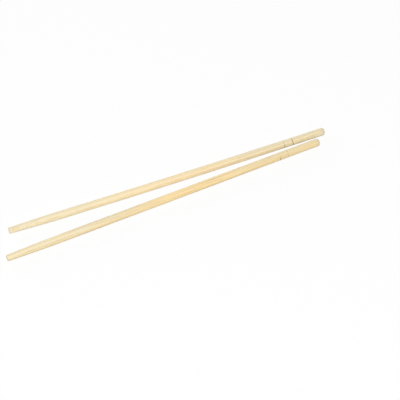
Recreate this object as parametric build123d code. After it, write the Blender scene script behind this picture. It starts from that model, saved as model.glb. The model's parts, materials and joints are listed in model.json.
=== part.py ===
from build123d import *
import os
from math import asin, atan, degrees, tan

# A pair of round disposable bamboo chopsticks, lying loose beside each other on a table.
# Each stick is turned from one length of bamboo rod: a straight shank, a tip that tapers over its last
# stretch to a flat cut end, two thin rings cut round the handle, and a rounded butt.
#
# Frame, in millimetres: +X runs along the pair towards the butts, +Y towards the rear stick, +Z up.
# The origin is on the table, at the middle of the pair.

# Stick
STICK_LENGTH = 210.0
SHANK_DIAMETER = 4.9
TIP_DIAMETER = 3.7
TAPER_LENGTH = 26.0
TAPER_EASE = 8.0  # on each side of the shoulder where the taper runs out into the shank
TIP_EDGE_RADIUS = 0.4
BUTT_EDGE_RADIUS = 1.2

# Rings cut round the handle
RING_FROM_BUTT = 23.5  # from the butt's end to the middle of the nearer ring
RING_SPACING = 5.9
RING_WIDTH = 0.7
RING_DEPTH = 0.3

# Pair, as it lies
TIP_GAP = 15.8  # clear space between the two tips
BUTT_GAP = 2.0  # clear space between the two butts
LEAD = 8.1  # the rear stick lies this much further towards the butts than the front one


def turned_rod():
    """The stick before its rings are cut, turned about X with its middle at the origin and its tip at -X."""
    tip_x = -STICK_LENGTH / 2
    butt_x = STICK_LENGTH / 2
    tip_radius = TIP_DIAMETER / 2
    shank_radius = SHANK_DIAMETER / 2
    taper_angle = atan((shank_radius - tip_radius) / TAPER_LENGTH)
    shoulder_radius = TAPER_EASE / tan(taper_angle / 2)
    outline = FilletPolyline(
        (tip_x, 0),
        (tip_x, tip_radius),
        (tip_x + TAPER_LENGTH, shank_radius),
        (butt_x, shank_radius),
        (butt_x, 0),
        radius=[TIP_EDGE_RADIUS, shoulder_radius, BUTT_EDGE_RADIUS],
    )
    half_section = make_face([*outline.edges(), Line((butt_x, 0), (tip_x, 0))])
    return revolve(half_section, Axis.X)


def ring_cut(from_butt):
    """The V that a pointed tool takes out round the shank, at a distance from the butt's end.

    Its flanks run on past the surface, as high above it as the ring is deep, where they are twice as far apart.
    """
    middle_x = STICK_LENGTH / 2 - from_butt
    bottom = SHANK_DIAMETER / 2 - RING_DEPTH
    top = SHANK_DIAMETER / 2 + RING_DEPTH
    section = Polyline((middle_x - RING_WIDTH, top), (middle_x, bottom), (middle_x + RING_WIDTH, top), close=True)
    return revolve(make_face(section), Axis.X)


def chopstick():
    """One finished stick, lying along X."""
    stick = turned_rod()
    for ring in range(2):
        stick -= ring_cut(RING_FROM_BUTT + ring * RING_SPACING)
    return stick


def laid(stick, side):
    """A stick where it lies on the table. Side is 1 for the rear stick and -1 for the front one."""
    tip_spacing = TIP_DIAMETER + TIP_GAP
    butt_spacing = SHANK_DIAMETER + BUTT_GAP
    splay = degrees(asin((tip_spacing - butt_spacing) / 2 / STICK_LENGTH))
    middle_spacing = (tip_spacing + butt_spacing) / 2
    place = Pos(side * LEAD / 2, side * middle_spacing / 2, SHANK_DIAMETER / 2)
    return place * Rot(0, 0, -side * splay) * stick


os.makedirs("parts", exist_ok=True)
for node, side in (("rear_chopstick", 1), ("front_chopstick", -1)):
    export_step(laid(chopstick(), side), f"parts/{node}.step")
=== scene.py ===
import json
from math import cos, radians, sin

import bmesh
import bpy
import numpy as np
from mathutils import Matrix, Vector


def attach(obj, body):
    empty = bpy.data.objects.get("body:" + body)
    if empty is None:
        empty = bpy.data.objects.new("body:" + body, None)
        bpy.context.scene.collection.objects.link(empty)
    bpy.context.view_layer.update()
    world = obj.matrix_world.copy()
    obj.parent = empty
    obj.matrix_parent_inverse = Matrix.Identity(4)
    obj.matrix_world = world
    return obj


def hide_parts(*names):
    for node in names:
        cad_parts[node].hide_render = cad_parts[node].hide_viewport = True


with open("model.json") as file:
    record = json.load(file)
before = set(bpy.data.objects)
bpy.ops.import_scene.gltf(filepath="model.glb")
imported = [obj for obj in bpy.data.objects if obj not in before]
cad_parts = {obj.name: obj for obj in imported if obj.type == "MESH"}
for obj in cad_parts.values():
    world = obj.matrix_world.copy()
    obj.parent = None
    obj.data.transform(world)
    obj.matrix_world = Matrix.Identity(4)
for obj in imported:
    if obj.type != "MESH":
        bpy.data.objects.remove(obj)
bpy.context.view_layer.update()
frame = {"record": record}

# Chopsticks
# A loose pair of round disposable sticks, each turned from one split of bamboo wall and sanded. Its fibres
# run from end to end, and one side of it is the denser wood from under the culm's skin. A blade has cut two
# rings round each handle, the tips are turned to a taper, and the ends are sawn off.
mounts = {mount["name"]: mount for mount in frame["record"]["mounts"]}

# The turned form, in millimetres
MM = 0.001
STICK_LENGTH = 210.0
SHANK_DIAMETER = 2 * mounts["rear_handle"]["dims"]["r_mm"]
TIP_DIAMETER = 3.7
TAPER_LENGTH = 26.0
TAPER_EASE = 8.0  # on each side of the shoulder where the taper runs out into the shank
TIP_EDGE_RADIUS = 0.4
BUTT_EDGE_RADIUS = 1.2
OVALNESS = 0.03

# The rings and their ragged lips
RING_FROM_BUTT = 23.5  # from the butt's end to the middle of the nearer ring
RING_SPACING = 5.9
RING_WIDTH = 0.7
RING_DEPTH = 0.3
RING_WAVER = 0.06
LIP_WAVER = 0.12  # as a share of the ring's half width
LIP_HOLD = 0.16  # the share of that half width which a hard bundle keeps from tearing
BURR_HEIGHT = 0.012
BURR_WIDTH = 0.07
BURR_CREST = 0.7  # how far out from the lip, as a share of the burr's width
RING_PLACES = [STICK_LENGTH - RING_FROM_BUTT - ring * RING_SPACING for ring in range(2)]

# The fibre bundles, and the marks of sanding and sawing
CULM_LENGTH = 500.0  # of straight grain, in which a stick starts anywhere
BUNDLE_PITCH = 0.5
BUNDLE_RADII = (0.09, 0.21)  # of the thinnest and the thickest
BUNDLE_RELIEF = 0.012
STRAND_RELIEF = 0.01
SANDING_DEPTH = 0.015
SANDING_TWIST = 6.0  # the length in which the sanding's waves turn round the stick by one radian
SANDING_SWELL = 11.0  # the length in which they swell and fade by one radian
SAW_DEPTH = 0.02
SAW_PITCH = 0.55
SAW_SLANT = radians(37)

# The grid
COLUMNS = 256  # round the stick
FACE_ROWS = 28
EDGE_ROWS = 10
ROW_SPACING = 1.25
RING_ROW_SPACING = 0.035
RING_REACH = 0.75  # of the closer rows, on each side of a ring

# The finish, with its tones as screen colours in steps of 255
STRAND_TAN = (214, 188, 140)
BUNDLE_TAN = (204, 170, 116)
VESSEL_BROWN = (154, 116, 70)
# The ends' grey is partly the sawn grain's own tone and partly painted shade on the end faces and the butt's
# rounded edge.
SAWN_GREY_AND_SHADE = (224, 214, 192)
SAWN_BROWN = (150, 116, 74)
# The rings' brown is painted shade, darkening the ring cuts.
RING_SHADE_BROWN = (118, 84, 48)
END_REACH = 3.2  # of the butt's greyer tone, in from its end
TONE_EASE = 8.0  # over which the painted warm bounce light comes and goes
ROUGHNESS = (0.44, 0.56)  # between the strands and on them

# What sets the two apart. Angles turn round a stick from its rear side over its top, in degrees. Places
# along it are from the tip. The slope is how far the grain drifts in each millimetre along the stick, first
# towards the culm's skin and then round the culm.
PAIR = {
    "rear": {
        "shape": {
            "seed": 11,
            "bow": -0.78,
            "skin_side": 215,
            "slope": (0.006, -0.004),
            "rings": (
                {"deep_side": 220, "mean": 0.85, "lean": 0.15},
                {"deep_side": 235, "mean": 0.6, "lean": 0.4},
            ),
            "bounce_light_stretch": (62, 148),
        },
        "tones": {"pith": (235, 226, 195), "skin": (244, 232, 195), "warm": (255, 233, 190)},
    },
    "front": {
        "shape": {
            "seed": 23,
            "bow": 0.0,
            "skin_side": 250,
            "slope": (0.013, 0.006),
            "rings": (
                {"deep_side": 315, "mean": 0.5, "lean": 0.25},
                {"deep_side": 235, "mean": 0.25, "lean": 0.9},
            ),
            "bounce_light_stretch": (84, 154),
        },
        "tones": {"pith": (237, 230, 199), "skin": (244, 222, 172), "warm": (255, 225, 165)},
    },
}


def taper_radius(along):
    """The radius along the taper and shank: a straight rise that meets the shank's level on a parabola."""
    slope = (SHANK_DIAMETER - TIP_DIAMETER) / 2 / TAPER_LENGTH
    on_taper = slope * (TAPER_LENGTH - along)
    on_ease = slope * np.clip(TAPER_LENGTH + TAPER_EASE - along, 0, None) ** 2 / (4 * TAPER_EASE)
    return SHANK_DIAMETER / 2 - np.where(along < TAPER_LENGTH - TAPER_EASE, on_taper, on_ease)


def turned_profile():
    """The distance from the tip and the radius of each row, from the tip's middle to the butt's.

    Out over the flat tip, round its edge on a quarter circle, along the taper and shank, round the butt's
    edge on a quarter circle, and in over the flat butt. Rows stand closer at the rings.
    """
    turn = np.linspace(0, np.pi / 2, EDGE_ROWS)
    over_face = np.arange(FACE_ROWS) / FACE_ROWS
    tip_radius = taper_radius(np.array(TIP_EDGE_RADIUS))
    butt_radius = SHANK_DIAMETER / 2
    butt_edge = STICK_LENGTH - BUTT_EDGE_RADIUS
    near_ring = np.arange(-RING_REACH, RING_REACH, RING_ROW_SPACING)
    body = np.arange(TIP_EDGE_RADIUS + ROW_SPACING, butt_edge - ROW_SPACING / 2, ROW_SPACING)
    body = np.unique(np.concatenate([body, *[place + near_ring for place in RING_PLACES]]).round(3))
    along = np.concatenate([
        np.zeros(FACE_ROWS),
        TIP_EDGE_RADIUS * (1 - np.cos(turn)),
        body,
        butt_edge + BUTT_EDGE_RADIUS * np.sin(turn),
        np.full(FACE_ROWS, STICK_LENGTH),
    ])
    radius = np.concatenate([
        over_face * (tip_radius - TIP_EDGE_RADIUS),
        tip_radius - TIP_EDGE_RADIUS * (1 - np.sin(turn)),
        taper_radius(body),
        butt_radius - BUTT_EDGE_RADIUS * (1 - np.cos(turn)),
        over_face[::-1] * (butt_radius - BUTT_EDGE_RADIUS),
    ])
    return along, radius


def grain_place(along, across, up, skin_side, slope, start):
    """Where each point lies in the bamboo: along its fibres, out towards the culm's skin and round the culm.

    The section is turned to put the culm's skin on the given side. It slides with the slope of the grain and
    sways in a slow sine. The way out is stretched by an exponential, so that the bundles crowd together
    towards the skin, and the way round by that exponential's root.
    """
    crowding, sway, sway_length = 0.24, 0.12, 85.0
    turn = radians(skin_side)
    swayed = sway * np.sin(2 * np.pi * (along + start) / sway_length)
    outwards = across * np.cos(turn) + up * np.sin(turn) + slope[0] * along + swayed
    round_culm = up * np.cos(turn) - across * np.sin(turn) + slope[1] * along - swayed
    stretch = np.exp(crowding * outwards)
    return np.stack([along + start, (stretch - 1) / crowding, round_culm * np.sqrt(stretch)], axis=-1)


def fibre_bundles(rng, grain):
    """How deep in a fibre bundle each point lies: a round dome on each point of a shaken square lattice.

    Each bundle has its own radius and its own strength, and where two overlap, the stronger counts.
    """
    shake, weakest = 0.38, 0.55
    low, high = grain[..., 1:].min((0, 1)), grain[..., 1:].max((0, 1))
    steps = [np.arange(start, stop + BUNDLE_PITCH, BUNDLE_PITCH) for start, stop in zip(low, high)]
    centres = np.stack(np.meshgrid(*steps), axis=-1).reshape(-1, 2)
    centres += rng.uniform(-shake, shake, centres.shape) * BUNDLE_PITCH
    radii = rng.uniform(*BUNDLE_RADII, len(centres))
    strengths = rng.uniform(weakest, 1, len(centres))
    bundle = np.zeros(grain.shape[:-1])
    for centre, radius, strength in zip(centres, radii, strengths):
        apart = ((grain[..., 1:] - centre) ** 2).sum(-1)
        bundle = np.maximum(bundle, strength * np.clip(1 - apart / radius**2, 0, 1))
    return bundle


def round_waves(rng, angle, counts, size):
    """The mean of cosine waves, each a whole number of times round, at random phases, times a size."""
    phases = rng.uniform(0, 2 * np.pi, len(counts))
    return size * sum(np.cos(count * angle + phase) for count, phase in zip(counts, phases)) / len(counts)


def ring_cuts(rng, along, angle, bundle, rings):
    """How far the blade has cut in, as a share of a full cut, and how far its burr stands up, over the grid.

    The cut is round at its bottom and sharp at its lips: two times the height in a V, less its square. The
    blade runs off centre, so each ring has a mean depth and a lean by a cosine towards its deep side, and it
    can run out on the other. Its line wavers, and its lips are ragged, because the soft wood between the
    bundles tears. The burr is a low bell beside each lip.
    """
    cut = np.zeros_like(along)
    burr = np.zeros_like(along)
    for place, ring in zip(RING_PLACES, rings):
        ragged = round_waves(rng, angle, (4, 7, 11, 19), LIP_WAVER) - LIP_HOLD * bundle
        half_width = RING_WIDTH / 2 * (1 + ragged)
        from_line = np.abs(along - place - round_waves(rng, angle, (1, 2, 3), RING_WAVER))
        in_v = np.clip(1 - from_line / half_width, 0, 1)
        depth = np.clip(ring["mean"] + ring["lean"] * np.cos(angle - radians(ring["deep_side"])), 0, 1)
        cut = np.maximum(cut, depth * in_v * (2 - in_v))
        past_crest = (from_line - half_width) / BURR_WIDTH - BURR_CREST
        burr = np.maximum(burr, depth * np.exp(-(past_crest**2)))
    return cut, burr


# The stretch of painted warm bounce light along the stick.
def bounce_light_mask(along, start, end):
    """1 between two places along the stick and 0 outside, with a logistic curve at each."""
    rise = 1 / (1 + np.exp((start - along) / TONE_EASE))
    fall = 1 / (1 + np.exp((along - end) / TONE_EASE))
    return rise * fall


def turned_stick(butt, axis, seed, bow, skin_side, slope, rings, bounce_light_stretch):
    """One stick as a surface of turning: its points, in rows along its profile by columns round it.

    The radius is the profile's, less the ring cuts, plus a slight ovalness, slow waves from the sanding, and
    the fibre bundles, which stand proud where the softer wood between them was sanded away. The saw has left
    a slanted ripple on the two end faces. The stick bows sideways on a parabola whose mean is on the axis.
    Also gives each row's way from the first, from 0 to 1, and the masks that the finish reads.
    """
    rng = np.random.default_rng(seed)
    along, radius = turned_profile()
    steps = np.hypot(np.diff(along), np.diff(radius))
    way = np.concatenate([[0], np.cumsum(steps)]) / steps.sum()
    angles = 2 * np.pi * np.arange(COLUMNS) / COLUMNS
    along, angle = np.meshgrid(along, angles, indexing="ij")
    radius = np.repeat(radius[:, None], COLUMNS, axis=1)
    on_face = (along == 0) | (along == STICK_LENGTH)

    start = rng.uniform(0, CULM_LENGTH)
    grain = grain_place(along, radius * np.cos(angle), radius * np.sin(angle), skin_side, slope, start)
    bundle = fibre_bundles(rng, grain)
    cut, burr = ring_cuts(rng, along, angle, bundle, rings)
    oval = round_waves(rng, angle, (2, 3), OVALNESS)
    sanding = SANDING_DEPTH * np.cos(angle + along / SANDING_TWIST) * np.cos(along / SANDING_SWELL)
    relief = np.where(on_face, 0, BUNDLE_RELIEF * bundle + BURR_HEIGHT * burr - RING_DEPTH * cut)
    turned = radius * (1 + (oval + sanding) / radius.max()) + relief
    across, up = turned * np.cos(angle), turned * np.sin(angle)
    saw_line = across * cos(SAW_SLANT) + up * sin(SAW_SLANT)
    saw = SAW_DEPTH * (1 + np.cos(2 * np.pi * saw_line / SAW_PITCH)) / 2 - BUNDLE_RELIEF * bundle
    inwards = np.where(on_face, saw, 0) * np.where(along < STICK_LENGTH / 2, 1, -1)
    bowed = across + bow * (1 / 3 - (2 * along / STICK_LENGTH - 1) ** 2)

    forward = Vector(axis)
    sideways = Vector((0, 0, 1)).cross(forward).normalized()
    directions = np.array([forward, sideways, forward.cross(sideways)])
    from_butt = np.stack([along + inwards - STICK_LENGTH, bowed, up], axis=-1)
    points = np.array(butt) + MM * from_butt @ directions

    from_end = np.minimum(along / TIP_EDGE_RADIUS, (STICK_LENGTH - along) / END_REACH)
    masks = {
        "fibre": grain,
        "bundle": bundle,
        "ring": cut,
        "end": np.clip(1 - from_end, 0, 1),
        "painted_bounce_light": bounce_light_mask(along, *bounce_light_stretch),
    }
    return points, way, masks


def closed_tube(name, points, way, masks):
    """A mesh of squares over a grid of points that closes round, with its first and last rows a point each.

    The map lays the skin out in three lengths, one above the other, by the rows' way.
    """
    rows, columns = points.shape[:2]
    lengths, margin, same_point = 3, 0.02, 1e-7
    row, column = np.divmod(np.arange((rows - 1) * columns), columns)
    corner_row = row[:, None] + (0, 0, 1, 1)
    corner_column = column[:, None] + (0, 1, 1, 0)
    squares = corner_row * columns + corner_column % columns
    mesh = bpy.data.meshes.new(name)
    mesh.from_pydata(points.reshape(-1, 3).tolist(), [], squares.tolist())
    mesh.polygons.foreach_set("use_smooth", np.ones(len(squares), bool))

    corner_way = lengths * way[corner_row]
    length = np.floor(corner_way.mean(1, keepdims=True))
    flat = np.stack([corner_way - length, corner_column / columns], axis=-1) * (1 - 2 * margin) + margin
    flat[..., 1] = (flat[..., 1] + length) / lengths
    mesh.uv_layers.new(name="OFBake").uv.foreach_set("vector", flat.astype(np.float32).ravel())
    for mask_name, mask in masks.items():
        kind, field = ("FLOAT_VECTOR", "vector") if mask.ndim == 3 else ("FLOAT", "value")
        stored = mesh.attributes.new(mask_name, kind, "POINT")
        stored.data.foreach_set(field, mask.astype(np.float32).ravel())

    merged = bmesh.new()
    merged.from_mesh(mesh)
    bmesh.ops.remove_doubles(merged, verts=merged.verts, dist=same_point)
    merged.to_mesh(mesh)
    merged.free()
    return mesh


def colour(red, green, blue):
    """A screen colour, in steps of 255, as the linear light that Blender works in, by the sRGB curve."""
    screen = np.array([red, green, blue]) / 255
    linear = np.where(screen <= 0.04045, screen / 12.92, ((screen + 0.055) / 1.055) ** 2.4)
    return (*linear.tolist(), 1.0)


def node(tree, kind, sockets=None, **settings):
    """A new node with its settings, and with each given socket set to a value or linked from an output."""
    made = tree.nodes.new(kind)
    for setting, value in settings.items():
        setattr(made, setting, value)
    for socket, value in (sockets or {}).items():
        if isinstance(value, bpy.types.NodeSocket):
            tree.links.new(value, made.inputs[socket])
        else:
            made.inputs[socket].default_value = value
    return made


def combined(tree, operation, first, second):
    """Two values put together by an operation such as MULTIPLY."""
    return node(tree, "ShaderNodeMath", {0: first, 1: second}, operation=operation).outputs[0]


def eased(tree, value, low, high):
    """The value eased from 0 at low to 1 at high."""
    sockets = {"Value": value, "From Min": low, "From Max": high}
    return node(tree, "ShaderNodeMapRange", sockets, interpolation_type="SMOOTHSTEP").outputs["Result"]


def bamboo_grain():
    """The grain of bamboo as a shader node group, from a place in the wood and a depth in a bundle.

    Skin rises towards the culm's skin. Mottle is broad, soft noise, and Strands is fine noise drawn out
    along the fibres. Bundles is the depth in a bundle with its edge sharpened. Vessels are dashes along the
    bundles' hearts. Places are in millimetres.
    """
    group = bpy.data.node_groups.new("bamboo grain", "ShaderNodeTree")
    group.interface.new_socket("Place", in_out="INPUT", socket_type="NodeSocketVector")
    group.interface.new_socket("Bundle", in_out="INPUT", socket_type="NodeSocketFloat")
    for output in ("Skin", "Mottle", "Strands", "Bundles", "Vessels"):
        group.interface.new_socket(output, in_out="OUTPUT", socket_type="NodeSocketFloat")
    given = node(group, "NodeGroupInput").outputs

    def drawn_noise(length, width, detail):
        """Noise with spots about this long and this wide."""
        scale = (1 / length, 1 / width, 1 / width)
        place = node(group, "ShaderNodeVectorMath", {0: given["Place"], 1: scale}, operation="MULTIPLY")
        sockets = {"Vector": place.outputs[0], "Scale": 1.0, "Detail": detail}
        return node(group, "ShaderNodeTexNoise", sockets).outputs["Fac"]

    outwards = node(group, "ShaderNodeSeparateXYZ", {0: given["Place"]}).outputs["Y"]
    hearts = eased(group, given["Bundle"], low=0.5, high=0.85)
    dashes = eased(group, drawn_noise(length=7.0, width=0.3, detail=1.0), low=0.45, high=0.62)
    node(group, "NodeGroupOutput", {
        "Skin": eased(group, outwards, low=-2.5, high=3.0),
        "Mottle": eased(group, drawn_noise(length=17.0, width=4.0, detail=2.0), low=0.3, high=0.7),
        "Strands": eased(group, drawn_noise(length=16.0, width=0.12, detail=3.0), low=0.3, high=0.7),
        "Bundles": eased(group, given["Bundle"], low=0.0, high=0.65),
        "Vessels": combined(group, "MULTIPLY", hearts, dashes),
    })
    return group


GRAIN = bamboo_grain()


def sanded_bamboo(name, pith, skin, warm):
    """Bare sanded bamboo, from one tone on the pith side to another under the skin, with warmer patches
    and with painted warm light along its middle, as if thrown back from brown paper under it.

    Tan bundles, fine strands and brown vessels run along it. The ring cuts are painted a darker brown, as
    shade in the grooves. The ends are greyer, partly by the sawn grain's own tone and partly by painted
    shade, and the cut bundles show on them as brown dots.
    """
    material = bpy.data.materials.new(name)
    material.use_nodes = True
    tree = material.node_tree
    tree.nodes.clear()

    def attribute(attribute_name, output="Fac"):
        """What the mesh stores under this name."""
        return node(tree, "ShaderNodeAttribute", attribute_name=attribute_name).outputs[output]

    def tinted(base, tint, mask, most):
        """The base with a tint laid over it, by at most this share where the mask is 1."""
        share, first, second, mixed = 0, 6, 7, 2  # sockets of a Mix node that works on colours
        sockets = {share: combined(tree, "MULTIPLY", mask, most), first: base, second: colour(*tint)}
        return node(tree, "ShaderNodeMix", sockets, data_type="RGBA").outputs[mixed]

    place = {"Place": attribute("fibre", "Vector"), "Bundle": attribute("bundle")}
    grain = node(tree, "ShaderNodeGroup", place, node_tree=GRAIN).outputs
    end = attribute("end")
    dots = combined(tree, "MULTIPLY", grain["Bundles"], end)

    wood = tinted(colour(*pith), skin, grain["Skin"], most=1.0)
    wood = tinted(wood, warm, grain["Mottle"], most=0.25)
    # Painted warm bounce light along the middle of the stick, as from brown paper under it.
    wood = tinted(wood, warm, attribute("painted_bounce_light"), most=0.8)
    wood = tinted(wood, STRAND_TAN, grain["Strands"], most=0.3)
    wood = tinted(wood, BUNDLE_TAN, grain["Bundles"], most=0.5)
    wood = tinted(wood, VESSEL_BROWN, grain["Vessels"], most=0.5)
    # Greyer ends: the sawn grain's own tone, with painted shade on the end faces and round the butt.
    wood = tinted(wood, SAWN_GREY_AND_SHADE, end, most=0.75)
    wood = tinted(wood, SAWN_BROWN, dots, most=0.55)
    # Painted shade in the ring cuts, darkest where they are cut deepest.
    wood = tinted(wood, RING_SHADE_BROWN, attribute("ring"), most=0.9)

    smooth, rough = ROUGHNESS
    spread = {"Value": grain["Strands"], "To Min": smooth, "To Max": rough}
    roughness = node(tree, "ShaderNodeMapRange", spread)
    height = combined(tree, "SUBTRACT", grain["Strands"], grain["Vessels"])
    bump = node(tree, "ShaderNodeBump", {"Strength": 0.4, "Distance": STRAND_RELIEF * MM, "Height": height})
    surface = node(tree, "ShaderNodeBsdfPrincipled", {
        "Base Color": wood,
        "Roughness": roughness.outputs["Result"],
        "Normal": bump.outputs["Normal"],
    })
    node(tree, "ShaderNodeOutputMaterial", {"Surface": surface.outputs["BSDF"]})
    return material


for side, traits in PAIR.items():
    butt = mounts[f"{side}_butt"]
    points, way, masks = turned_stick(butt["pos_m"], butt["axis"], **traits["shape"])
    stick_name = f"{side}_stick"
    stick = bpy.data.objects.new(stick_name, closed_tube(stick_name, points, way, masks))
    bpy.context.scene.collection.objects.link(stick)
    stick.data.materials.append(sanded_bamboo(f"{side} bamboo", **traits["tones"]))
    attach(stick, "root")
    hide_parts(f"{side}_chopstick")

# Table
# A wide, flat, matt white sheet that the sticks lie on, with nothing holding them. It looks plain white all
# over, and keeps their soft shadow.
TABLE_REACH = 3.0
TABLE_DROP = 0.06 * MM  # below the sticks' lowest fibres
TABLE_GLOW = 0.88  # the share of the table's look that is plain white
TABLE_SHADE = 0.95  # the grey of the rest, which takes the shadow
TABLE_BOUNCE = 0.75  # the share of the light that the table throws back at the sticks

reach = np.array([-TABLE_REACH, TABLE_REACH])
corner_x, corner_y = np.meshgrid(reach, reach)
corners = np.stack([corner_x.ravel(), corner_y.ravel(), np.full(4, -TABLE_DROP)], axis=-1)
table_mesh = bpy.data.meshes.new("table")
table_mesh.from_pydata(corners.tolist(), [], [(0, 1, 3, 2)])
table = bpy.data.objects.new("table", table_mesh)
bpy.context.scene.collection.objects.link(table)


def seen_directly(tree):
    """1 for a ray from the camera, or passed on by metal or glass, and 0 for a ray that carries light."""
    path = node(tree, "ShaderNodeLightPath").outputs
    passed_on = combined(tree, "MAXIMUM", path["Is Glossy Ray"], path["Is Transmission Ray"])
    return combined(tree, "MAXIMUM", path["Is Camera Ray"], passed_on)


white_sheet = bpy.data.materials.new("white sheet")
white_sheet.use_nodes = True
tree = white_sheet.node_tree
tree.nodes.clear()
seen = seen_directly(tree)
glow = combined(tree, "MULTIPLY", seen, TABLE_GLOW)
grey = node(tree, "ShaderNodeMapRange", {"Value": seen, "To Min": TABLE_BOUNCE, "To Max": TABLE_SHADE})
lit = node(tree, "ShaderNodeBsdfDiffuse", {"Color": grey.outputs["Result"]})
plain = node(tree, "ShaderNodeEmission", {"Color": (1, 1, 1, 1), "Strength": 1.0})
sheet = node(tree, "ShaderNodeMixShader", {0: glow, 1: lit.outputs[0], 2: plain.outputs[0]})
node(tree, "ShaderNodeOutputMaterial", {"Surface": sheet.outputs[0]})
table_mesh.materials.append(white_sheet)

# Light
# Two soft boxes in a white room that fills the shadows. The key box stands above the camera, and a weaker
# one stands low behind the pair, so that its far side shows its colour too.
ROOM_LEVEL = 0.3
BOX_DISTANCE = 2.0
BOX_SIZE = 0.7
BOXES = {
    "key box": {"azimuth": -28, "elevation": 52, "watts": 30.0},
    "back box": {"azimuth": 200, "elevation": 12, "watts": 18.0},
}

room = bpy.data.worlds.new("white room")
room.use_nodes = True
bpy.context.scene.world = room
tree = room.node_tree
tree.nodes.clear()
seen = seen_directly(tree)
level = node(tree, "ShaderNodeMapRange", {"Value": seen, "To Min": ROOM_LEVEL, "To Max": 1.0})
walls = node(tree, "ShaderNodeBackground", {"Color": (1, 1, 1, 1), "Strength": level.outputs["Result"]})
node(tree, "ShaderNodeOutputWorld", {"Surface": walls.outputs[0]})


def direction(azimuth, elevation):
    """The way from the pair to a point seen at this azimuth, turned from the front, and this elevation."""
    return Vector((sin(azimuth) * cos(elevation), -cos(azimuth) * cos(elevation), sin(elevation)))


for box_name, box in BOXES.items():
    lamp = bpy.data.lights.new(box_name, "AREA")
    lamp.size = BOX_SIZE
    lamp.energy = box["watts"]
    soft_box = bpy.data.objects.new(box_name, lamp)
    towards_box = direction(radians(box["azimuth"]), radians(box["elevation"]))
    soft_box.location = towards_box * BOX_DISTANCE
    soft_box.rotation_euler = (-towards_box).to_track_quat("-Z", "Y").to_euler()
    bpy.context.scene.collection.objects.link(soft_box)

# Camera
# It looks down on the pair from the tips' side, from two thirds of a metre away, through a long lens on a
# full-frame sensor.
VIEW_AZIMUTH = radians(-26.283)
VIEW_ELEVATION = radians(45.409)
VIEW_DISTANCE = 0.66113
VIEW_AIM = Vector((0.014838, -0.007798, -0.0075))
LENS = 96.89
SENSOR_WIDTH = 36.0

towards_camera = direction(VIEW_AZIMUTH, VIEW_ELEVATION)
camera_data = bpy.data.cameras.new("camera")
camera_data.lens = LENS
camera_data.sensor_width = SENSOR_WIDTH
camera = bpy.data.objects.new("camera", camera_data)
camera.location = VIEW_AIM + towards_camera * VIEW_DISTANCE
camera.rotation_euler = (-towards_camera).to_track_quat("-Z", "Y").to_euler()
bpy.context.scene.collection.objects.link(camera)
bpy.context.scene.camera = camera
bpy.context.scene.view_settings.view_transform = "Standard"
